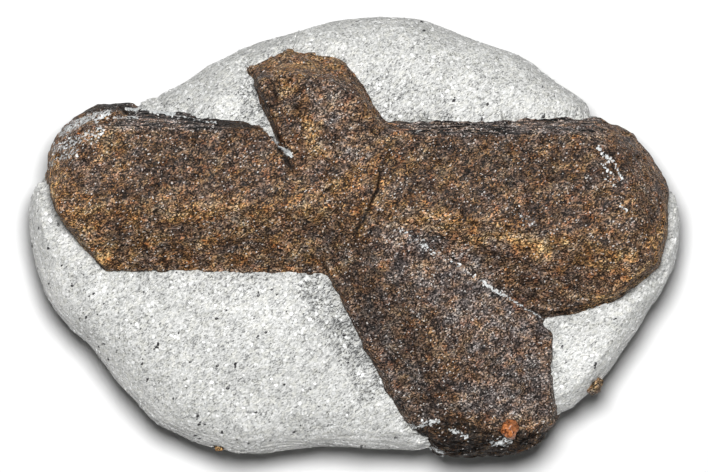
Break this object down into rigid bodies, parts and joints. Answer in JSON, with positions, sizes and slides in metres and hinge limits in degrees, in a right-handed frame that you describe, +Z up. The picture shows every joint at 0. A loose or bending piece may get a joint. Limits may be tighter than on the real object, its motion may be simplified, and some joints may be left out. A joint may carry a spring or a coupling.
{
  "type": "staurolite in schist",
  "caption": "Rounded piece of pale mica schist with a cross of brown staurolite crystals grown through each other in its face.",
  "frame": {"origin": "on the flat back that the piece lies on, under the middle of its box", "axes": "+X along the longer crystal, from its ledged end to its rounded one; +Z up, out of the face with the crystals; +Y towards the shorter upper arm"},
  "size_m": [0.0899, 0.0604, 0.0269],
  "materials": {
    "schist": "rough pale grey mica schist with fine glinting flakes",
    "staurolite": "dark brown, pitted, half-glossy crystal faces",
    "garnet": "orange-red, glassy grain"
  },
  "bodies": {
    "root": {"schist": "schist", "staurolite_twin": "staurolite", "rim_crystal": "staurolite", "front_crystal": "staurolite", "garnet_grain": "garnet"}
  },
  "joints": []
}
